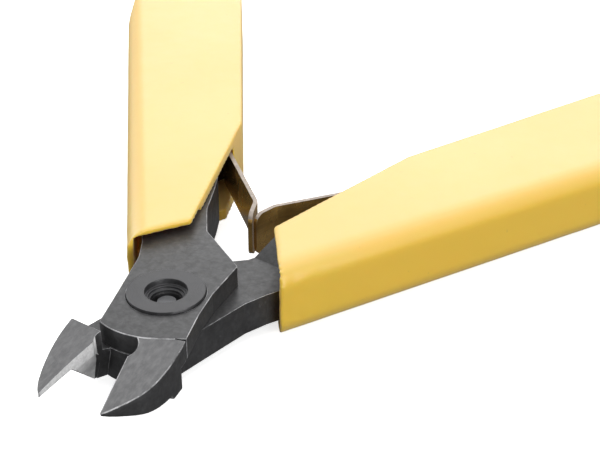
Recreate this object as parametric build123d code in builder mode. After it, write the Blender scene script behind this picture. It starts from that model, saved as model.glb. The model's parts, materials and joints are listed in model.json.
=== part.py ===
"""Small-head flush cutters with a lap joint, plastic sleeves and two leaf return springs.

All lengths are in millimetres. Each half of the tool is drawn as it stands when the jaws are
closed: pivot axis at the local origin, jaws along -Y, handles along +Y, cutting edges on X = 0.
`side` is -1 for the half whose handle is on the left and +1 for the other one, so the same
outline serves both. The half's plane then swings it to the open rest position.
"""

import os
from math import atan2, cos, hypot, radians, sin, sqrt

from build123d import *

# ---- whole tool ---------------------------------------------------------------------------
HALF_OPENING = 11.22      # each half swings this far from closed to its stop, degrees
HEAD_THICKNESS = 6.0
LAP_HEIGHT = 0.7          # the halves lap on this height above the middle of the head
LAP_GAP = 0.03            # running clearance between the lapped faces
BLADE_GAP = 0.01          # what is left between each land and the middle when closed

# ---- head ---------------------------------------------------------------------------------
LOBE_RADIUS = 7.85        # front arc of each half's lapped lobe
FRONT_CORNER = (4.46, 6.36)
HEAD_HALF_WIDTH = 4.82
BACK_CORNER = (5.39, 6.6)
WAIST = (4.45, 2.8)
CROTCH = (0.03, 12.75)
SHOULDER_WIDTH = 5.98     # outer half width where the head runs into the tang
SHOULDER_BACK = 8.55

# ---- jaws ---------------------------------------------------------------------------------
JAW_REACH = 17.1
JAW_BACK = 8.5            # straight back wall of the jaw, over the other half's lobe
JAW_ROOT_WIDTH = 4.65
BEVEL_START = 7.85        # where the upper bevel leaves the flat top
BEVEL_SKEW = 0.18
BEVEL_SLOPE = 0.2195
JAW_OUTLINE = {           # outer side of each jaw as (half width, reach), from the tip back
    -1: ((0.78, 16.55), (1.72, 15.58), (3.02, 14.02), (3.97, 11.83), (4.42, 9.8)),
    1: ((0.95, 16.35), (1.95, 14.95), (3.2, 12.67), (4.15, 10.2)),
}
EDGE_ROOT = {-1: 10.3, 1: 10.0}      # the cutting edges start here
EDGE_RELIEF = {-1: BLADE_GAP, 1: 0.2}   # so that the edges meet at the tips first
POCKET_DEPTH = {-1: 0.5, 1: 0.62}    # relief pocket behind the edges
LAND_LOW = 1.59           # lower border of the ground strip at this reach
LAND_AT = 10.4
LAND_FALL = {-1: 0.125, 1: 0.167}    # and how it falls towards the tip
UNDERCUT_SLOPE = {-1: 0.66, 1: 0.8}   # the inner face falls this much per millimetre of width
HEEL_FRONT = (0.0, 12.9, 1.17)       # the heel block runs out here, at the ground strip
HEEL_INNER = (1.5, 9.06, -2.95)      # (half width, reach, height) of its lower inner corner
HEEL_OUTER = {-1: (4.1, 10.3, -1.6), 1: (4.0, 10.4, -1.9)}
HEEL_UNDER = {-1: (4.4, 9.5, -1.75), 1: (4.4, 9.5, -1.95)}    # its underside rises to here
HEEL_BACK_TOP = (0.72, 9.5)          # (half width, reach) of the heel's back edge at the lap
HEEL_BACK_LEAN = -0.5                # behind that edge the heel runs inwards to the lobe

# ---- tangs --------------------------------------------------------------------------------
RAMP_START = 13.45        # the tang leaves the lap level and thickens here
RAMP_LENGTH = 3.2
TANG_WIDTH = 8.2
TANG_END = 74.0
TANG_NECK = (1.65, 17.5)

# ---- sleeves ------------------------------------------------------------------------------
GRIP_WALL = 0.75
GRIP_LEAN = 0.4           # sideways run of the outer line per millimetre of length
GRIP_FRONT_OUT = {-1: (7.4, 7.6), 1: (7.9, 8.3)}
GRIP_FRONT_IN = {-1: (1.74, 12.5), 1: (1.74, 15.1)}
GRIP_BEND = (3.95, 38.0)
GRIP_FULL = (33.1, 71.3)  # outer line starts to curve in from here
GRIP_END_OUT = (36.9, 86.5)
GRIP_END_IN = (20.9, 91.8)
GRIP_END_RADIUS = 6.8
GRIP_EDGE_OUT = 2.4       # rounding along the outer side
GRIP_EDGE_IN = 1.0
MOUTH_DEPTH = 9.0         # the sleeve stands off the steel as far in as this
MOUTH_GAP = 0.65          # and by this much
FLAP_CUT = (4.6, 30.5)    # the lower flap is cut away inwards and forwards of this corner
LEAF_SLOT_REACH = 12.5    # length of the leaf's slot, from the pin
LEAF_SLOT_BACK = 0.55     # the inner side closes again this far behind the leaf's middle
SLEEVE_FIT = 0.04
GRIP_HALF_HEIGHT = HEAD_THICKNESS / 2 + MOUTH_GAP + GRIP_WALL

# ---- pivot --------------------------------------------------------------------------------
NUT_RADIUS = 3.98
NUT_PROUD = 0.3
NUT_THICKNESS = 1.3
HUB_RADIUS = 2.7
HUB_FIT = 0.03
COUNTERBORE_FIT = 0.06
WINDOW_STEPS = ((2.18, 0.66), (1.85, 0.3), (1.62, 0.3))   # radius and depth of each step
THREAD_RADIUS = 1.45
THREAD_FIT = 0.05
POINT_RADIUS = 0.95       # dog point of the screw, seen in the window
POINT_DROP = 1.26         # how far the point's end lies below the top of the nut
POINT_LENGTH = 1.0
SCREW_HEAD_RADIUS = 3.4
SCREW_HEAD_THICKNESS = 1.5
SCREW_HEAD_FIT = 0.1
SLOT_WIDTH = 0.9
SLOT_DEPTH = 0.8

# ---- leaf springs -------------------------------------------------------------------------
SPRING_PIN_AT = (6.9, 37.4)
SPRING_PIN_RADIUS = 0.8
SPRING_EYE_FIT = 0.05
SPRING_EYE_WALL = 0.5
LEAF_THICKNESS = 0.5
LEAF_HALF_WIDTH = 2.7
LEAF_ROOT_HALF_WIDTH = 1.6
LEAF_ROOT_LENGTH = 3.6
LEAF_KNEE = (-2.95, 21.1)
LEAF_KNEE_RADIUS = 1.6
LEAF_TIP = {-1: (-3.31, 17.6), 1: (-3.3, 18.0)}
LEAF_TIP_RADIUS = 1.2
LEAF_GAP = 0.25           # free room round the leaf in its slot
LEAF_TRAVEL = 11.4        # the leaf turns this far in its half while the tool closes, degrees

HALF_HEIGHT = HEAD_THICKNESS / 2
os.makedirs("parts", exist_ok=True)


def grip_plan(side):
    """Plan of a sleeve: narrow mouth, gentle bend on the inner side, round free end."""
    with BuildSketch(Plane.XY) as plan:
        with BuildLine():
            Polyline(
                (side * GRIP_FRONT_OUT[side][0], GRIP_FRONT_OUT[side][1]),
                (side * GRIP_FULL[0], GRIP_FULL[1]),
                (side * GRIP_END_OUT[0], GRIP_END_OUT[1]),
                (side * GRIP_END_IN[0], GRIP_END_IN[1]),
                (side * GRIP_BEND[0], GRIP_BEND[1]),
                (side * GRIP_FRONT_IN[side][0], GRIP_FRONT_IN[side][1]),
                close=True,
            )
        make_face()
        fillet(plan.vertices().sort_by(Axis.Y)[-2:], GRIP_END_RADIUS)
    return plan.sketch


def swung(side, shift=(0, 0, 0)):
    """Plane of a half at rest: swung open about the pivot, handle end moving outwards."""
    angle = -side * radians(HALF_OPENING)
    return Plane(origin=shift, x_dir=(cos(angle), sin(angle), 0), z_dir=(0, 0, 1))


# The tool stands on its sleeves, and the frame's origin is the middle of its box on the table.
with BuildSketch(swung(-1)) as reach_sketch:
    add(grip_plan(-1))
back_reach = reach_sketch.sketch.bounding_box().max.Y
front_reach = JAW_REACH * cos(radians(HALF_OPENING))
PIVOT = (0, (front_reach - back_reach) / 2, GRIP_HALF_HEIGHT)
half_plane = {side: swung(side, PIVOT) for side in (-1, 1)}
pivot_plane = Plane(origin=PIVOT)


def head_plan(side):
    """Plan of the lapped layer: front arc, waist, back corner, start of the tang."""
    front_out = (side * FRONT_CORNER[0], -FRONT_CORNER[1])
    front_in = (-side * 2.0, -sqrt(LOBE_RADIUS ** 2 - 2.0 ** 2))
    neck_outer = SHOULDER_WIDTH + GRIP_LEAN * (TANG_NECK[1] - SHOULDER_BACK)
    with BuildSketch(Plane.XY) as plan:
        with BuildLine():
            ThreePointArc(front_out, (0, -LOBE_RADIUS), front_in)
            Polyline(
                front_in,
                (-side * JAW_ROOT_WIDTH, -FRONT_CORNER[1] - 0.65),
                (-side * WAIST[0], -WAIST[1]),
                (-side * (WAIST[0] + 0.12), 1.0),
                (-side * BACK_CORNER[0], BACK_CORNER[1]),
                (-side * 1.61, 10.92),
                (side * CROTCH[0], CROTCH[1]),
                (side * TANG_NECK[0], TANG_NECK[1]),
                (side * neck_outer, TANG_NECK[1]),
                (side * SHOULDER_WIDTH, SHOULDER_BACK),
                (side * (HEAD_HALF_WIDTH + 0.44), 5.83),
                (side * HEAD_HALF_WIDTH, -0.54),
                front_out,
            )
        make_face()
    return plan.sketch


def tang_plan(side):
    """Plan of the tang, a bar that keeps to the sleeve's outer side."""
    out_start = SHOULDER_WIDTH + GRIP_LEAN * (RAMP_START - SHOULDER_BACK)
    out_end = SHOULDER_WIDTH + GRIP_LEAN * (TANG_END - SHOULDER_BACK)
    pin_x, pin_y = SPRING_PIN_AT
    with BuildSketch(Plane.XY) as plan:
        with BuildLine():
            Polyline(
                (side * out_start, RAMP_START),
                (side * out_end, TANG_END),
                (side * (out_end - TANG_WIDTH), TANG_END + GRIP_LEAN * TANG_WIDTH),
                (side * (pin_x + 0.2), pin_y + 3.0),
                (side * (pin_x - 1.2), pin_y + 0.6),
                (side * (pin_x - 1.2), pin_y - 1.4),
                (side * (pin_x - 0.4), pin_y - 2.8),
                (side * 2.9, 25.0),
                (side * 2.3, 22.0),
                (side * TANG_NECK[0], TANG_NECK[1]),
                (side * 0.35, RAMP_START),
                close=True,
            )
        make_face()
        fillet(plan.vertices().sort_by(Axis.Y)[-2:], TANG_WIDTH / 2 - 0.4)
    return plan.sketch


def leaf_room_plan(side):
    """Plan of the fan-shaped room that the leaf's eye and root need while the leaf rocks."""
    pin = Vector(side * SPRING_PIN_AT[0], SPRING_PIN_AT[1])
    knee = Vector(side * LEAF_KNEE[0], LEAF_KNEE[1])
    rest = atan2(knee.Y - pin.Y, knee.X - pin.X)
    closed = rest + side * radians(LEAF_TRAVEL)
    clear = LEAF_THICKNESS / 2 + LEAF_GAP
    reach = 2 * LEAF_ROOT_LENGTH
    open_side = Vector(sin(rest), -cos(rest)) * (side * clear)
    closed_side = Vector(-sin(closed), cos(closed)) * (side * clear)
    with BuildSketch(Plane.XY) as plan:
        with BuildLine():
            Polyline(
                pin + open_side,
                pin + open_side + Vector(cos(rest), sin(rest)) * reach,
                pin + closed_side + Vector(cos(closed), sin(closed)) * reach,
                pin + closed_side,
                close=True,
            )
        make_face()
        with Locations(pin):
            Circle(SPRING_PIN_RADIUS + SPRING_EYE_FIT + SPRING_EYE_WALL + LEAF_GAP)
    return plan.sketch


def jaw_plan(side, back, front):
    """Plan of a jaw between the lines Y = -back and Y = -front."""
    inner = -side * EDGE_RELIEF[side]
    blunt = (-side * 0.12, -JAW_REACH)
    root_out = (-side * JAW_ROOT_WIDTH, -8.0)
    outer = [(-side * width, -reach) for width, reach in JAW_OUTLINE[side]]
    with BuildSketch(Plane.XY) as plan:
        with BuildLine():
            Polyline((inner, -7.0), (inner, -14.0), (-side * BLADE_GAP, -JAW_REACH + 0.08), blunt)
            Spline(blunt, *outer, root_out)
            Polyline(root_out, (-side * JAW_ROOT_WIDTH, -7.0), (inner, -7.0))
        make_face()
        with Locations((0, -(back + front) / 2)):
            Rectangle(4 * JAW_ROOT_WIDTH, front - back, mode=Mode.INTERSECT)
    return plan.sketch


def plane_through(side, plane, a, b, c):
    """Plane through three points given as (half width on the jaw's side, reach, height)."""
    at = [Vector(-side * x, -y, z) for x, y, z in (a, b, c)]
    normal = (at[1] - at[0]).cross(at[2] - at[0])
    if normal.Z < 0:
        normal = -normal
    local = Plane(origin=at[0], z_dir=normal)
    return Plane(plane.location * local.location)


def bevel_height(width, reach):
    """Height of the jaw's upper bevel at a place given by half width and reach."""
    return HALF_HEIGHT - BEVEL_SLOPE * (reach - BEVEL_START + BEVEL_SKEW * width)


def land_low(side, reach):
    """Height of the lower border of the ground strip."""
    return LAND_LOW - LAND_FALL[side] * (reach - LAND_AT)


def make_jaw(side, plane):
    """One jaw with its bevel, ground strip, undercut, heel and relief pocket."""
    own_low = LAP_HEIGHT + LAP_GAP / 2 if side < 0 else -HALF_HEIGHT
    own_high = HALF_HEIGHT if side < 0 else LAP_HEIGHT - LAP_GAP / 2
    bevel = plane_through(side, plane, *[(w, r, bevel_height(w, r))
                                         for w, r in ((0, 10), (0, 16), (4, 10))])
    undercut = plane_through(side, plane, (0, LAND_AT, LAND_LOW),
                             (0, JAW_REACH, land_low(side, JAW_REACH)),
                             (2, LAND_AT, LAND_LOW - 2 * UNDERCUT_SLOPE[side]))
    heel_face = plane_through(side, plane, HEEL_FRONT, HEEL_INNER, (0, LAND_AT, LAND_LOW))
    belly = plane_through(side, plane, HEEL_FRONT, HEEL_INNER, HEEL_OUTER[side])
    under = plane_through(side, plane, HEEL_INNER, HEEL_UNDER[side],
                          (HEEL_INNER[0], LOBE_RADIUS, HEEL_INNER[2]))
    edge_root = EDGE_ROOT[side]
    depth = POCKET_DEPTH[side]
    pocket_chord = edge_root - LOBE_RADIUS
    pocket_radius = (pocket_chord ** 2 / 4 + depth ** 2) / (2 * depth)
    pocket_at = (-side * (depth - pocket_radius), -(edge_root + LOBE_RADIUS) / 2)

    with BuildPart() as blade:
        with BuildSketch(plane.offset(-HALF_HEIGHT)):
            add(jaw_plan(side, JAW_BACK, JAW_REACH))
        extrude(amount=HEAD_THICKNESS)
        split(bisect_by=undercut, keep=Keep.TOP)

    with BuildPart() as heel:
        with BuildSketch(plane.offset(-HALF_HEIGHT)):
            add(jaw_plan(side, JAW_BACK, JAW_REACH))
        extrude(amount=HEAD_THICKNESS)
        split(bisect_by=heel_face, keep=Keep.TOP)
        split(bisect_by=belly, keep=Keep.TOP)
        split(bisect_by=under, keep=Keep.TOP)

    # What lies behind the heel's back edge, below the lap, is cut away down to the lobe.
    with BuildPart() as heel_cut:
        for level, (width, reach) in ((LAP_HEIGHT, HEEL_BACK_TOP), (-HALF_HEIGHT, HEEL_INNER[:2])):
            back_width = width + HEEL_BACK_LEAN * (reach - LOBE_RADIUS)
            with BuildSketch(plane.offset(level)):
                with BuildLine():
                    Polyline(
                        (side, -reach),
                        (-side * width, -reach),
                        (-side * back_width, -LOBE_RADIUS + 0.4),
                        (side, -LOBE_RADIUS + 0.4),
                        close=True,
                    )
                make_face()
        loft()

    with BuildPart() as jaw:
        add(blade.part)
        add(heel.part)
        with BuildSketch(plane.offset(own_low)):
            add(jaw_plan(side, LOBE_RADIUS - 0.6, JAW_BACK + 0.3))
        extrude(amount=own_high - own_low)
        with BuildSketch(plane.offset(-HALF_HEIGHT)):
            with Locations(pocket_at):
                Circle(pocket_radius)
        extrude(amount=HEAD_THICKNESS, mode=Mode.SUBTRACT)
        add(heel_cut.part, mode=Mode.SUBTRACT)
        split(bisect_by=bevel, keep=Keep.BOTTOM)
    return jaw.part


def make_half(side, plane):
    """One steel half without its bores: lapped layer, tang with ramp and spring slot, jaw."""
    jaw = make_jaw(side, plane)
    low = LAP_HEIGHT + LAP_GAP / 2 if side < 0 else -HALF_HEIGHT
    high = HALF_HEIGHT if side < 0 else LAP_HEIGHT - LAP_GAP / 2
    with BuildPart() as half:
        with BuildSketch(plane.offset(low)):
            add(head_plan(side))
        extrude(amount=high - low)
        with BuildSketch(plane.offset(-HALF_HEIGHT)):
            add(tang_plan(side))
        extrude(amount=HEAD_THICKNESS)

        # The tang thickens along a ramp once it is clear of the other half's back corner.
        lap_face = low if side < 0 else high
        far_face = -HALF_HEIGHT if side < 0 else HALF_HEIGHT
        beyond = 1.0 if side > 0 else -1.0
        side_view = Plane(plane.location * Plane.YZ.offset(-20).location)
        with BuildSketch(side_view):
            with BuildLine():
                Polyline(
                    (RAMP_START - 1, lap_face),
                    (RAMP_START, lap_face),
                    (RAMP_START + RAMP_LENGTH, far_face),
                    (RAMP_START + RAMP_LENGTH, far_face + beyond),
                    (RAMP_START - 1, far_face + beyond),
                    close=True,
                )
            make_face()
        extrude(amount=40, mode=Mode.SUBTRACT)

        # V-shaped slot in which the leaf spring's eye sits and its root can rock.
        pin_at = (side * SPRING_PIN_AT[0], SPRING_PIN_AT[1])
        slot_half = LEAF_ROOT_HALF_WIDTH + LEAF_GAP
        with BuildSketch(plane.offset(-slot_half)):
            add(leaf_room_plan(side))
        extrude(amount=2 * slot_half, mode=Mode.SUBTRACT)
        with BuildSketch(plane.offset(-HALF_HEIGHT)):
            with Locations(pin_at):
                Circle(SPRING_PIN_RADIUS)
        extrude(amount=HEAD_THICKNESS, mode=Mode.SUBTRACT)
        add(jaw)
    return half.part


def make_grip(side, plane):
    """One plastic sleeve: round outer side, open mouth, inner side open up to the bend."""
    front_y = GRIP_FRONT_OUT[side][1]
    mouth_end = front_y + MOUTH_DEPTH
    wall_run = GRIP_WALL * hypot(1, GRIP_LEAN)
    pin_x, pin_y = SPRING_PIN_AT
    tang_room = HALF_HEIGHT + SLEEVE_FIT
    mouth_room = HALF_HEIGHT + MOUTH_GAP

    pin = Vector(side * pin_x, pin_y)
    along = (Vector(side * LEAF_KNEE[0], LEAF_KNEE[1]) - pin).normalized()
    slot_back = pin + Vector(along.Y, -along.X) * (side * LEAF_SLOT_BACK)

    def inside_of_outer_wall(y):
        return side * (GRIP_FRONT_OUT[side][0] + GRIP_LEAN * (y - front_y) - wall_run)

    with BuildPart() as grip:
        with BuildSketch(plane.offset(-GRIP_HALF_HEIGHT)):
            add(grip_plan(side))
        extrude(amount=2 * GRIP_HALF_HEIGHT)
        long_side = grip.faces().filter_by(GeomType.PLANE).filter_by(Axis.Z, reverse=True)
        outer_edges = long_side.sort_by(SortBy.AREA)[-1].edges().filter_by(Axis.Z, reverse=True)
        fillet(outer_edges.filter_by(lambda edge: edge.length > 30), GRIP_EDGE_OUT)
        with BuildSketch(plane.offset(-tang_room)):
            add(tang_plan(side))
            offset(amount=SLEEVE_FIT, kind=Kind.INTERSECTION)
            with BuildLine():
                Polyline(
                    (side * 0.3, front_y + 1),
                    slot_back + along * LEAF_SLOT_REACH,
                    slot_back,
                    (side * (pin_x + 1.1), pin_y - 1.4),
                    (side * 3.4, 24.0),
                    (side * 2.0, front_y + 1),
                    close=True,
                )
            make_face()
            with Locations((side * pin_x, pin_y)):
                Circle(SPRING_PIN_RADIUS + SPRING_EYE_FIT + SPRING_EYE_WALL + LEAF_GAP)
        extrude(amount=2 * tang_room, mode=Mode.SUBTRACT)
        with BuildSketch(plane.offset(-mouth_room)):
            with BuildLine():
                Polyline(
                    (inside_of_outer_wall(front_y - 3), front_y - 3),
                    (inside_of_outer_wall(mouth_end), mouth_end),
                    (-side, mouth_end),
                    (-side, front_y - 3),
                    close=True,
                )
            make_face()
        extrude(amount=2 * mouth_room, mode=Mode.SUBTRACT)
        with BuildSketch(plane.offset(-GRIP_HALF_HEIGHT)):
            with BuildLine():
                Polyline(
                    (-side, front_y - 3),
                    (side * FLAP_CUT[0], front_y - 3),
                    (side * FLAP_CUT[0], FLAP_CUT[1] - 4),
                    (-side, FLAP_CUT[1] + 2),
                    close=True,
                )
            make_face()
        extrude(amount=GRIP_HALF_HEIGHT, mode=Mode.SUBTRACT)
    return grip.part


def make_leaf(side, plane):
    """One leaf spring: rolled eye, narrow root, straight blade, knee and rounded tip."""
    pin = (side * SPRING_PIN_AT[0], SPRING_PIN_AT[1])
    knee = (side * LEAF_KNEE[0], LEAF_KNEE[1])
    tip = (side * LEAF_TIP[side][0], LEAF_TIP[side][1])
    bore = SPRING_PIN_RADIUS + SPRING_EYE_FIT
    with BuildPart() as leaf:
        with BuildSketch(plane.offset(-LEAF_HALF_WIDTH)):
            with BuildLine():
                FilletPolyline(pin, knee, tip, radius=LEAF_KNEE_RADIUS)
            trace(line_width=LEAF_THICKNESS)
        extrude(amount=2 * LEAF_HALF_WIDTH)
        tip_at = plane.from_local_coords(Vector(tip[0], tip[1], 0))
        corners = leaf.edges().filter_by(lambda edge: abs(edge.length - LEAF_THICKNESS) < 0.01)
        fillet(corners.sort_by_distance(tip_at)[:2], LEAF_TIP_RADIUS)
        for level in (-LEAF_HALF_WIDTH, LEAF_ROOT_HALF_WIDTH):
            with BuildSketch(plane.offset(level)):
                with Locations(pin):
                    Circle(LEAF_ROOT_LENGTH)
            extrude(amount=LEAF_HALF_WIDTH - LEAF_ROOT_HALF_WIDTH, mode=Mode.SUBTRACT)
        with BuildSketch(plane.offset(-LEAF_ROOT_HALF_WIDTH)):
            with Locations(pin):
                Circle(bore + SPRING_EYE_WALL)
        extrude(amount=2 * LEAF_ROOT_HALF_WIDTH)
        with BuildSketch(plane.offset(-LEAF_HALF_WIDTH)):
            with Locations(pin):
                Circle(bore)
        extrude(amount=2 * LEAF_HALF_WIDTH, mode=Mode.SUBTRACT)
    return leaf.part


def make_pin(side, plane):
    """Cross pin on which a leaf spring's eye sits."""
    with BuildPart() as pin:
        with BuildSketch(plane.offset(-HALF_HEIGHT)):
            with Locations((side * SPRING_PIN_AT[0], SPRING_PIN_AT[1])):
                Circle(SPRING_PIN_RADIUS)
        extrude(amount=HEAD_THICKNESS)
    return pin.part


def bore(radius, low, high):
    """Cut a round hole on the pivot axis between two heights, in the part that is open."""
    with BuildSketch(pivot_plane.offset(low)) as hole:
        Circle(radius)
    extrude(hole.sketch, amount=high - low, mode=Mode.SUBTRACT)


nut_top = HALF_HEIGHT + NUT_PROUD
nut_seat = nut_top - NUT_THICKNESS
screw_seat = -HALF_HEIGHT + SCREW_HEAD_THICKNESS

halves = {side: make_half(side, half_plane[side]) for side in (-1, 1)}
grips = {side: make_grip(side, half_plane[side]) for side in (-1, 1)}
leaves = {side: make_leaf(side, half_plane[side]) for side in (-1, 1)}
pins = {side: make_pin(side, half_plane[side]) for side in (-1, 1)}

# ---- steel halves -------------------------------------------------------------------------
with BuildPart() as upper_half:
    add(halves[-1])
    bore(HUB_RADIUS + HUB_FIT, -HALF_HEIGHT, HALF_HEIGHT)
    bore(NUT_RADIUS + COUNTERBORE_FIT, nut_seat, HALF_HEIGHT)

with BuildPart() as lower_half:
    add(halves[1])
    bore(HUB_RADIUS + HUB_FIT, -HALF_HEIGHT, HALF_HEIGHT)
    bore(SCREW_HEAD_RADIUS + SCREW_HEAD_FIT, -HALF_HEIGHT, screw_seat + LAP_GAP)

# ---- pivot --------------------------------------------------------------------------------
with BuildPart() as pivot_nut:
    with BuildSketch(pivot_plane.offset(nut_seat)):
        Circle(NUT_RADIUS)
    extrude(amount=NUT_THICKNESS)
    with BuildSketch(pivot_plane.offset(screw_seat)):
        Circle(HUB_RADIUS)
    extrude(amount=nut_seat - screw_seat)
    step_top = nut_top
    for step_radius, step_depth in WINDOW_STEPS:
        bore(step_radius, step_top - step_depth, nut_top)
        step_top = step_top - step_depth
    bore(THREAD_RADIUS + THREAD_FIT, screw_seat, nut_top)

with BuildPart() as pivot_screw:
    with BuildSketch(pivot_plane.offset(-HALF_HEIGHT)):
        Circle(SCREW_HEAD_RADIUS)
    extrude(amount=SCREW_HEAD_THICKNESS)
    point_end = nut_top - POINT_DROP
    with BuildSketch(pivot_plane.offset(screw_seat)):
        Circle(THREAD_RADIUS)
    extrude(amount=point_end - POINT_LENGTH - screw_seat)
    with BuildSketch(pivot_plane.offset(point_end - POINT_LENGTH)):
        Circle(POINT_RADIUS)
    extrude(amount=POINT_LENGTH)
    with BuildSketch(pivot_plane.offset(-HALF_HEIGHT)):
        Rectangle(3 * SCREW_HEAD_RADIUS, SLOT_WIDTH)
    extrude(amount=SLOT_DEPTH, mode=Mode.SUBTRACT)

# ---- sleeves, springs and their pins ------------------------------------------------------
with BuildPart() as left_grip:
    add(grips[-1])

with BuildPart() as right_grip:
    add(grips[1])

with BuildPart() as left_leaf_spring:
    add(leaves[-1])

with BuildPart() as right_leaf_spring:
    add(leaves[1])

with BuildPart() as left_spring_pin:
    add(pins[-1])

with BuildPart() as right_spring_pin:
    add(pins[1])

pieces = {
    "upper_half": upper_half,
    "lower_half": lower_half,
    "pivot_nut": pivot_nut,
    "pivot_screw": pivot_screw,
    "left_grip": left_grip,
    "right_grip": right_grip,
    "left_leaf_spring": left_leaf_spring,
    "right_leaf_spring": right_leaf_spring,
    "left_spring_pin": left_spring_pin,
    "right_spring_pin": right_spring_pin,
}
for name, piece in pieces.items():
    piece.part.label = name
    export_step(piece.part, f"parts/{name}.step")

for side, name in ((-1, "left"), (1, "right")):
    spring_pin = half_plane[side].from_local_coords(Vector(side * SPRING_PIN_AT[0], SPRING_PIN_AT[1]))
    print(f"{name} spring pin at {spring_pin.X:.4f}, {spring_pin.Y:.4f}, {spring_pin.Z:.4f}")
print(f"pivot at {PIVOT[0]:.4f}, {PIVOT[1]:.4f}, {PIVOT[2]:.4f}")
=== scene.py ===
"""Looks of the flush cutters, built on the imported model. All lengths here are in metres."""

import json
from math import radians

import bpy
from mathutils import Matrix, Vector, noise


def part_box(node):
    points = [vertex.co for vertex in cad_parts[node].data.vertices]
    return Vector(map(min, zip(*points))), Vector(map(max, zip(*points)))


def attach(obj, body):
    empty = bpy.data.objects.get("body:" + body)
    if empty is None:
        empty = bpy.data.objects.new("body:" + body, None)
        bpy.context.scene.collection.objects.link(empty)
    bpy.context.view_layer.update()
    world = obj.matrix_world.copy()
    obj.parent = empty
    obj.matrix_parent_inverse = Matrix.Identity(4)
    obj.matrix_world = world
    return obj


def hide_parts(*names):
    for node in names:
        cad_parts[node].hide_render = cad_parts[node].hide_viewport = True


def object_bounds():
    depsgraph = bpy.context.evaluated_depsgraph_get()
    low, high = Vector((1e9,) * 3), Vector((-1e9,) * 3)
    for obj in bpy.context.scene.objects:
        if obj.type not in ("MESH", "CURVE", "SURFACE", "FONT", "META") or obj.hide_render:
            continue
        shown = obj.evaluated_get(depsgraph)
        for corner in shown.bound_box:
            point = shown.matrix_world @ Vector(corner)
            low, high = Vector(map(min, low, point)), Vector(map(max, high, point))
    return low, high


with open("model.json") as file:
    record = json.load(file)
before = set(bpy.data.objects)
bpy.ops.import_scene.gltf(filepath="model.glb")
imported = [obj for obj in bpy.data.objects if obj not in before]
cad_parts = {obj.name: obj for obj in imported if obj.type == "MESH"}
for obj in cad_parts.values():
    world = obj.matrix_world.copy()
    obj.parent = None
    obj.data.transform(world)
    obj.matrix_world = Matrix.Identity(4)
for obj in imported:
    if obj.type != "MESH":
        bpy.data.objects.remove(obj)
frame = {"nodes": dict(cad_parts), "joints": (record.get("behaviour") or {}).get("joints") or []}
cad_low, cad_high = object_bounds()

MM = 0.001
nodes = frame["nodes"]
joints = {joint["name"]: joint for joint in frame["joints"]}
pivot = Vector(joints["pivot"]["pos_m"])
half_travel = radians(joints["pivot"]["range_deg"][1]) / 2
scene = bpy.context.scene

# ---- small edge bevels --------------------------------------------------------------------
SHORT_EDGE = 0.02 * MM    # points closer than this are joined first, as they stop the bevel
BEVEL_SEGMENTS = 2
HALF_BEVEL = 0.08 * MM
PIVOT_BEVEL = 0.07 * MM
LEAF_BEVEL = 0.09 * MM
PIN_BEVEL = 0.08 * MM

# ---- faces of a half, in millimetres from the pivot with the jaws closed (along -Y) ---------
TOP_BEVEL_FROM = -6.5
TOP_BEVEL_TILT = -0.12    # Y part of the upper bevel's normal is below this
JAW_FROM = -7.9
UNDERSIDE = -2.9
EDGE_FROM = -10.2         # the ground cutting edges start here
EDGE_HALF_WIDTH = 0.3
HEEL_FROM = -9.2

# ---- moulded sleeves ----------------------------------------------------------------------
VOXEL = 0.27 * MM
SMOOTHING_PASSES = 2
RAGGED_LENGTH = 9 * MM    # the mouth's edge is uneven over this length
WAVE = (260, 0.10)        # scale and height (millimetres) of the slow and the ragged unevenness
RAGGED_WAVE = (900, 0.07)
WAVE_SHARE = 0.25         # share of it that is left away from the mouth

# ---- camera and world ---------------------------------------------------------------------
CAMERA_OFFSET = Vector((55.91, -83.30, 67.84)) * MM   # from the pivot
CAMERA_TILT = 29.84       # degrees below level
CAMERA_TURN = 26.21
FOCAL_LENGTH = 71.18
SENSOR_WIDTH = 36
WORLD_STRENGTH = 0.68
SKY_FULL_AT = 0.75        # the world is white from this height of the view direction up
HORIZON_TONE = (0.22, 0.22, 0.225, 1)
FLOOR_GLOW = 0.72         # washes out most of the shadow


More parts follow.
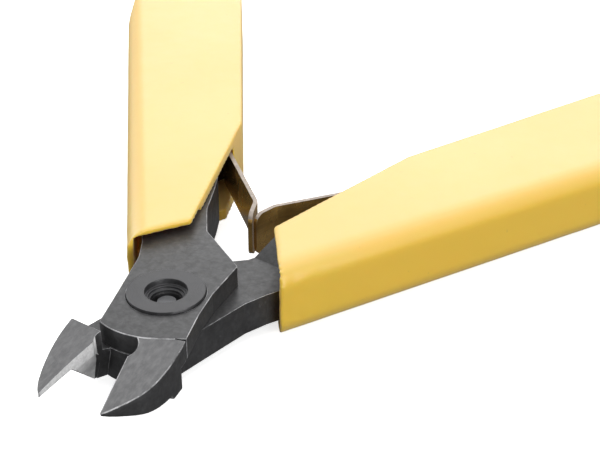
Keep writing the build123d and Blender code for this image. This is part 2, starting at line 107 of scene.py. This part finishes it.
# ---- node materials; noise scales are per metre -------------------------------------------
class Nodes:
    """Small helper that adds and links shader nodes."""

    def __init__(self, name):
        self.material = bpy.data.materials.new(name)
        self.material.use_nodes = True
        self.tree = self.material.node_tree
        self.shader = self.tree.nodes["Principled BSDF"]
        self.place = self.tree.nodes.new("ShaderNodeTexCoord").outputs["Object"]

    def link(self, source, target):
        self.tree.links.new(source, target)

    def add(self, kind, **inputs):
        node = self.tree.nodes.new("ShaderNode" + kind)
        for key, value in inputs.items():
            node.inputs[key.replace("_", " ")].default_value = value
        return node

    def stretched(self, scale, turn=(0, 0, 0)):
        mapping = self.add("Mapping", Scale=scale, Rotation=turn)
        self.link(self.place, mapping.inputs["Vector"])
        return mapping.outputs["Vector"]

    def noise(self, scale, detail=4.0, roughness=0.5, vector=None, distortion=0.0):
        node = self.add("TexNoise", Scale=scale, Detail=detail, Roughness=roughness,
                        Distortion=distortion)
        self.link(vector or self.place, node.inputs["Vector"])
        return node.outputs["Fac"]

    def ramp(self, source, stops):
        node = self.tree.nodes.new("ShaderNodeValToRGB")
        band = node.color_ramp
        while len(band.elements) < len(stops):
            band.elements.new(0.5)
        for element, (at, colour) in zip(band.elements, stops):
            element.position = at
            element.color = (*colour, 1) if len(colour) == 3 else colour
        self.link(source, node.inputs["Fac"])
        return node.outputs["Color"]

    def span(self, source, low, high, start=0.0, end=1.0):
        node = self.add("MapRange", To_Min=low, To_Max=high, From_Min=start, From_Max=end)
        self.link(source, node.inputs["Value"])
        return node.outputs["Result"]

    def mix(self, factor, a, b, blend="MIX"):
        node = self.tree.nodes.new("ShaderNodeMix")
        node.data_type = "RGBA"
        node.blend_type = blend
        for value, socket in ((factor, node.inputs[0]), (a, node.inputs[6]), (b, node.inputs[7])):
            if isinstance(value, bpy.types.NodeSocket):
                self.link(value, socket)
            elif isinstance(value, (tuple, list)):
                socket.default_value = (*value, 1) if len(value) == 3 else value
            else:
                socket.default_value = value
        return node.outputs[2]

    def math(self, operation, a, b=0.0):
        node = self.tree.nodes.new("ShaderNodeMath")
        node.operation = operation
        for value, socket in zip((a, b), node.inputs):
            if isinstance(value, bpy.types.NodeSocket):
                self.link(value, socket)
            else:
                socket.default_value = value
        return node.outputs[0]

    def bump(self, height, strength, distance, before=None):
        node = self.add("Bump", Strength=strength, Distance=distance)
        self.link(height, node.inputs["Height"])
        if before:
            self.link(before, node.inputs["Normal"])
        return node.outputs["Normal"]

    def finish(self, colour, roughness, normal, metallic=0.0, ior=1.5, coat=0.0,
               coat_roughness=0.3):
        self.link(colour, self.shader.inputs["Base Color"])
        self.link(roughness, self.shader.inputs["Roughness"])
        self.link(normal, self.shader.inputs["Normal"])
        self.shader.inputs["Metallic"].default_value = metallic
        self.shader.inputs["IOR"].default_value = ior
        self.shader.inputs["Coat Weight"].default_value = coat
        self.shader.inputs["Coat Roughness"].default_value = coat_roughness
        return self.material


def make_steel(name, dark, light, roughness, metallic, grain=(1500, 1500, 1500),
               scratches=0.3):
    """Ground or blasted tool steel: mottled tone, fine grain, thin scuffs, uneven gloss."""
    n = Nodes(name)
    cloud = n.noise(220, 5, 0.6)
    mottle = n.noise(1100, 4, 0.65)
    fine = n.noise(1.0, 4, 0.65, n.stretched(grain))
    scuff = n.noise(1.0, 3, 0.7, n.stretched((1400, 90, 400), (0, 0, 0.9)), 0.4)
    tone = n.ramp(cloud, ((0.30, dark), (0.70, light)))
    tone = n.mix(n.span(mottle, 0.0, 0.35, 0.35, 0.68), tone, tuple(c * 0.78 for c in dark))
    tone = n.mix(n.span(fine, 0.0, 0.5, 0.42, 0.75), tone, tuple(c * 1.55 for c in light))
    marks = n.ramp(scuff, ((0.67, (0, 0, 0)), (0.73, (1, 1, 1))))
    tone = n.mix(n.math("MULTIPLY", marks, scratches), tone, tuple(min(1, c * 2.4) for c in light))
    rough = n.math("ADD", n.span(cloud, roughness - 0.08, roughness + 0.08, 0.3, 0.7),
                   n.span(mottle, -0.07, 0.07, 0.3, 0.7))
    normal = n.bump(fine, 0.35, 0.00003)
    normal = n.bump(mottle, 0.25, 0.00004, normal)
    return n.finish(tone, rough, normal, metallic)


def make_edge_highlight_and_wear():
    """Edge bevels: painted highlight lines, bright in uneven stretches where the edge is also
    rubbed, dark in between.
    """
    n = Nodes("edge_wear_and_highlight")
    patch = n.noise(500, 4, 0.7)
    fine = n.noise(2600, 3, 0.6)
    # painted highlight along the edges, partly real rubbing: bright stretches over a dark edge
    lit_and_rubbed = n.ramp(patch, ((0.40, (0.10, 0.10, 0.102)), (0.62, (0.50, 0.50, 0.51))))
    tone = n.mix(n.span(fine, 0.0, 0.5, 0.45, 0.75), lit_and_rubbed, (0.18, 0.18, 0.185))
    return n.finish(tone, n.span(patch, 0.5, 0.34, 0.35, 0.6), n.bump(fine, 0.3, 0.00003), 0.3)


def make_ground(name, dark, light, roughness, grain):
    """Freshly ground face: bright steel with fine parallel marks and a few darker streaks."""
    n = Nodes(name)
    lines = n.noise(1.0, 3, 0.6, n.stretched(grain))
    streak = n.noise(1.0, 2, 0.5, n.stretched(tuple(g * 0.3 for g in grain)))
    cloud = n.noise(900, 4, 0.6)
    tone = n.ramp(lines, ((0.30, dark), (0.70, light)))
    tone = n.mix(n.span(streak, 0.0, 0.45, 0.52, 0.72), tone, tuple(c * 0.6 for c in dark))
    tone = n.mix(n.span(cloud, 0.0, 0.3, 0.5, 0.75), tone, tuple(c * 0.75 for c in dark))
    normal = n.bump(lines, 0.3, 0.00003)
    return n.finish(tone, n.span(cloud, roughness - 0.06, roughness + 0.06, 0.3, 0.7), normal)


def make_turned(name, dark, light, roughness, centre):
    """Turned steel: fine rings about an upright axis through the centre."""
    n = Nodes(name)
    shift = n.add("Mapping", Location=(-centre.x, -centre.y, 0), Scale=(1, 1, 0))
    n.link(n.place, shift.inputs["Vector"])
    length = n.tree.nodes.new("ShaderNodeVectorMath")
    length.operation = "LENGTH"
    n.link(shift.outputs["Vector"], length.inputs[0])
    rings = n.math("SINE", n.math("MULTIPLY", length.outputs["Value"], 42000.0))
    cloud = n.noise(600, 4, 0.6)
    tone = n.ramp(cloud, ((0.3, dark), (0.7, light)))
    tone = n.mix(n.span(rings, 0.0, 0.25, -1, 1), tone, tuple(c * 1.5 for c in light))
    rough = n.span(cloud, roughness - 0.08, roughness + 0.08, 0.3, 0.7)
    normal = n.bump(rings, 0.10, 0.00002)
    normal = n.bump(n.noise(2500, 3), 0.15, 0.00002, normal)
    return n.finish(tone, rough, normal, 0.8)


def make_strip():
    """Rolled spring steel, tinted golden brown as a painted reflection of the yellow sleeves:
    smooth, with a slow drift of tone and faint lines.
    """
    n = Nodes("spring_strip_sleeve_reflection")
    drift = n.noise(260, 3, 0.5)
    lines = n.noise(1.0, 3, 0.6, n.stretched((300, 300, 5200)))
    # painted reflection of the yellow sleeves: golden-brown tone drifting over the strip
    tone = n.ramp(drift, ((0.32, (0.34, 0.20, 0.05)), (0.68, (0.70, 0.44, 0.14))))
    tone = n.mix(n.span(lines, 0.0, 0.3, 0.45, 0.75), tone, (0.16, 0.10, 0.05))
    return n.finish(tone, n.span(drift, 0.16, 0.30, 0.3, 0.7), n.bump(lines, 0.15, 0.00002), 0.65)


def make_plastic(name, base, upright_shaded, deep):
    """Soft moulded sleeve: painted light, paler on top than on the sides as if lit from above; fine
    skin, faint dents.
    """
    n = Nodes(name)
    drift = n.noise(35, 3, 0.5)
    skin = n.noise(3200, 3, 0.6)
    dents = n.noise(420, 3, 0.55)
    specks = n.noise(1300, 2, 0.5)
    facing = n.tree.nodes.new("ShaderNodeSeparateXYZ")
    n.link(n.tree.nodes.new("ShaderNodeNewGeometry").outputs["Normal"], facing.inputs["Vector"])
    # painted light and shade: tops blend to the pale lit tone, sides to the deeper shaded golden
    tone = n.mix(n.span(facing.outputs["Z"], 0.0, 1.0, 0.25, 0.95), upright_shaded, base)
    tone = n.mix(n.span(drift, 0.0, 1.0, 0.35, 0.65), tone, (0.985, 0.965, 0.92), "MULTIPLY")
    grime = n.ramp(specks, ((0.74, (0, 0, 0)), (0.79, (1, 1, 1))))
    tone = n.mix(n.math("MULTIPLY", grime, 0.25), tone, deep)
    rough = n.math("ADD", n.span(drift, 0.36, 0.46, 0.3, 0.7), n.span(dents, -0.04, 0.04, 0.3, 0.7))
    normal = n.bump(skin, 0.08, 0.00004)
    normal = n.bump(dents, 0.12, 0.0002, normal)
    material = n.finish(tone, rough, normal, 0.0, 1.6, 0.3, 0.4)
    n.shader.inputs["Sheen Weight"].default_value = 0.25
    n.shader.inputs["Sheen Roughness"].default_value = 0.6
    n.shader.inputs["Subsurface Weight"].default_value = 0.25
    n.shader.inputs["Subsurface Radius"].default_value = (1.0, 0.62, 0.18)
    n.shader.inputs["Subsurface Scale"].default_value = 0.0012
    return material


steel = make_steel("forged_steel", (0.060, 0.060, 0.061), (0.086, 0.086, 0.088), 0.40, 0.60)
satin = make_steel("satin_bevel", (0.100, 0.100, 0.102), (0.145, 0.145, 0.148), 0.50, 0.30,
                   (2600, 900, 2600), scratches=0.15)
bright = make_ground("ground_edge", (0.62, 0.62, 0.62), (0.82, 0.82, 0.82), 0.42, (900, 4200, 4200))
heel = make_ground("ground_heel", (0.60, 0.60, 0.60), (0.86, 0.86, 0.86), 0.46, (3600, 1500, 900))
# edge bevel material: painted highlight lines, partly real wear
edge = make_edge_highlight_and_wear()
nut = make_turned("turned_nut", (0.060, 0.060, 0.062), (0.092, 0.092, 0.095), 0.40, pivot)
screw = make_turned("turned_screw", (0.10, 0.102, 0.106), (0.17, 0.172, 0.178), 0.38, pivot)
strip = make_strip()
strip_edge = make_steel("sheared_edge", (0.24, 0.20, 0.17), (0.42, 0.36, 0.31), 0.42, 0.4)
pin_steel = make_steel("drawn_pin", (0.2, 0.2, 0.205), (0.32, 0.32, 0.325), 0.35, 0.9)
# first colour: the paler top, with painted light; second: painted shade of the sides; third: grime
# specks
plastic = make_plastic("yellow_sleeve", (0.86, 0.575, 0.145), (0.90, 0.58, 0.04),
                       (0.42, 0.27, 0.07))


# ---- carried-over CAD nodes ---------------------------------------------------------------
def set_slots(node, materials):
    """Give a CAD node's object these materials in its slots."""
    data = nodes[node].data
    data.materials.clear()
    for material in materials:
        data.materials.append(material)


def soften(node, width, material=-1, angle=25, clamp=True):
    """Break a node's sharp edges with a small bevel, in the slot given if there is one.

    The clamp stops the bevel at the shortest edge near it. Without it the bevel is full width.
    """
    weld = nodes[node].modifiers.new("short_edges", "WELD")
    weld.merge_threshold = SHORT_EDGE
    bevel = nodes[node].modifiers.new("soft_edges", "BEVEL")
    bevel.width = width
    bevel.segments = BEVEL_SEGMENTS
    bevel.limit_method = "ANGLE"
    bevel.angle_limit = radians(angle)
    bevel.material = material
    bevel.harden_normals = True
    bevel.use_clamp_overlap = clamp


def face_kind(centre, normal, side):
    """0 plain, 1 satin bevel, 2 bright ground face, 3 ground heel, for one of a half's faces."""
    inward = normal.x * side
    if centre.y < TOP_BEVEL_FROM and normal.z > 0.9 and normal.y < TOP_BEVEL_TILT:
        return 1
    if centre.y > JAW_FROM or centre.z < UNDERSIDE:
        return 0
    if inward > 0.97 and abs(centre.x) < EDGE_HALF_WIDTH and centre.y < EDGE_FROM:
        return 2
    if centre.y < HEEL_FROM and inward > 0.3 and normal.z > -0.95:
        return 3
    return 0


# each half's bevel faces take slot 4, the edge material with its painted highlight lines
for name, side in (("upper_half", -1), ("lower_half", 1)):
    set_slots(name, (steel, satin, bright, heel, edge))
    unswing = Matrix.Rotation(side * half_travel, 3, "Z")
    for polygon in nodes[name].data.polygons:
        centre = unswing @ (Vector(polygon.center) - pivot) / MM
        normal = unswing @ Vector(polygon.normal)
        polygon.material_index = face_kind(centre, normal, side)
    soften(name, HALF_BEVEL, 4, 40, clamp=side > 0)

set_slots("pivot_nut", (nut,))
soften("pivot_nut", PIVOT_BEVEL)
set_slots("pivot_screw", (screw,))
soften("pivot_screw", PIVOT_BEVEL)
for name in ("left_leaf_spring", "right_leaf_spring"):
    set_slots(name, (strip, strip_edge))
    for polygon in nodes[name].data.polygons:
        polygon.material_index = int(abs(polygon.normal.z) > 0.5)
    soften(name, LEAF_BEVEL, 1)
# the pins' bevel faces take slot 1, the edge material with its painted highlight lines
for name in ("left_spring_pin", "right_spring_pin"):
    set_slots(name, (pin_steel, edge))
    soften(name, PIN_BEVEL, 1)


# ---- moulded sleeves ----------------------------------------------------------------------
def mould_sleeve(node, body, side):
    """Soft-edged copy of a sleeve with a slightly ragged mouth, standing for the CAD node."""
    sleeve = bpy.data.objects.new(node + "_moulded", nodes[node].data.copy())
    scene.collection.objects.link(sleeve)
    remesh = sleeve.modifiers.new("remesh", "REMESH")
    remesh.mode = "VOXEL"
    remesh.voxel_size = VOXEL
    smooth = sleeve.modifiers.new("smooth", "SMOOTH")
    smooth.factor = 0.5
    smooth.iterations = SMOOTHING_PASSES
    evaluated = sleeve.evaluated_get(bpy.context.evaluated_depsgraph_get())
    shaped = bpy.data.meshes.new_from_object(evaluated)
    sleeve.modifiers.clear()
    sleeve.data = shaped
    unswing = Matrix.Rotation(side * half_travel, 3, "Z")
    low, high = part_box(node)
    mouth = min((unswing @ (vertex.co - pivot)).y for vertex in shaped.vertices)
    for vertex in shaped.vertices:
        local = unswing @ (vertex.co - pivot)
        ragged = max(0.0, 1 - (local.y - mouth) / RAGGED_LENGTH)
        wave = noise.noise(vertex.co * WAVE[0]) * WAVE[1]
        wave += noise.noise(vertex.co * RAGGED_WAVE[0]) * RAGGED_WAVE[1] * ragged
        centre = Vector(((low.x + high.x) / 2, vertex.co.y, (low.z + high.z) / 2))
        inward = (centre - vertex.co).normalized()
        moved = vertex.co + inward * (wave * MM * (WAVE_SHARE + ragged))
        vertex.co = [min(max(at, a), b) for at, a, b in zip(moved, low, high)]
    shaped.materials.clear()
    shaped.materials.append(plastic)
    shaped.polygons.foreach_set("material_index", [0] * len(shaped.polygons))
    shaped.polygons.foreach_set("use_smooth", [True] * len(shaped.polygons))
    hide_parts(node)
    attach(sleeve, body)


mould_sleeve("left_grip", "upper_cutter", -1)
mould_sleeve("right_grip", "lower_cutter", 1)


# ---- floor, light and camera --------------------------------------------------------------
def make_floor():
    n = Nodes("pale_floor")
    drift = n.noise(6, 2)
    tone = n.mix(n.span(drift, 0.0, 1.0), (0.93, 0.93, 0.93), (0.95, 0.95, 0.95))
    n.shader.inputs["Emission Color"].default_value = (1, 1, 1, 1)
    n.shader.inputs["Emission Strength"].default_value = FLOOR_GLOW
    return n.finish(tone, n.span(drift, 0.75, 0.85), n.bump(n.noise(900, 2), 0.02, 0.0001))


bpy.ops.mesh.primitive_plane_add(size=6, location=(0, 0, cad_low.z))
floor = bpy.context.object
floor.name = "floor"
floor.data.materials.append(make_floor())
floor.visible_glossy = False
floor.visible_diffuse = False


def add_light(name, energy, place, size, size_y):
    """Area light that looks at the middle of the tool."""
    data = bpy.data.lights.new(name, "AREA")
    data.energy = energy
    data.shape = "RECTANGLE"
    data.size = size
    data.size_y = size_y
    light = bpy.data.objects.new(name, data)
    light.location = place
    light.rotation_euler = (-Vector(place)).to_track_quat("-Z", "Y").to_euler()
    scene.collection.objects.link(light)


add_light("overhead", 2.25, (0.0, 0.10, 0.62), 0.8, 0.8)
add_light("back", 2.8, (-0.10, 0.80, 0.40), 1.1, 0.5)
add_light("left", 2.8, (-0.75, 0.05, 0.28), 0.6, 0.5)
add_light("front_right", 3.6, (0.70, -0.40, 0.20), 0.5, 0.45)

world = bpy.data.worlds.new("studio")
scene.world = world
world.use_nodes = True
tree = world.node_tree
background = tree.nodes["Background"]
coords = tree.nodes.new("ShaderNodeTexCoord")
split = tree.nodes.new("ShaderNodeSeparateXYZ")
band = tree.nodes.new("ShaderNodeValToRGB")
tree.links.new(coords.outputs["Generated"], split.inputs["Vector"])
tree.links.new(split.outputs["Z"], band.inputs["Fac"])
tree.links.new(band.outputs["Color"], background.inputs["Color"])
band.color_ramp.elements[0].position = 0.0
band.color_ramp.elements[0].color = HORIZON_TONE
band.color_ramp.elements[1].position = SKY_FULL_AT
band.color_ramp.elements[1].color = (1, 1, 1, 1)
background.inputs["Strength"].default_value = WORLD_STRENGTH

camera = bpy.data.objects.new("camera", bpy.data.cameras.new("camera"))
scene.collection.objects.link(camera)
camera.data.sensor_width = SENSOR_WIDTH
camera.data.sensor_fit = "HORIZONTAL"
camera.data.lens = FOCAL_LENGTH
camera.data.clip_start = 0.005
camera.location = pivot + CAMERA_OFFSET
camera.rotation_euler = (radians(90 - CAMERA_TILT), 0, radians(CAMERA_TURN))
scene.camera = camera
scene.view_settings.view_transform = "Standard"
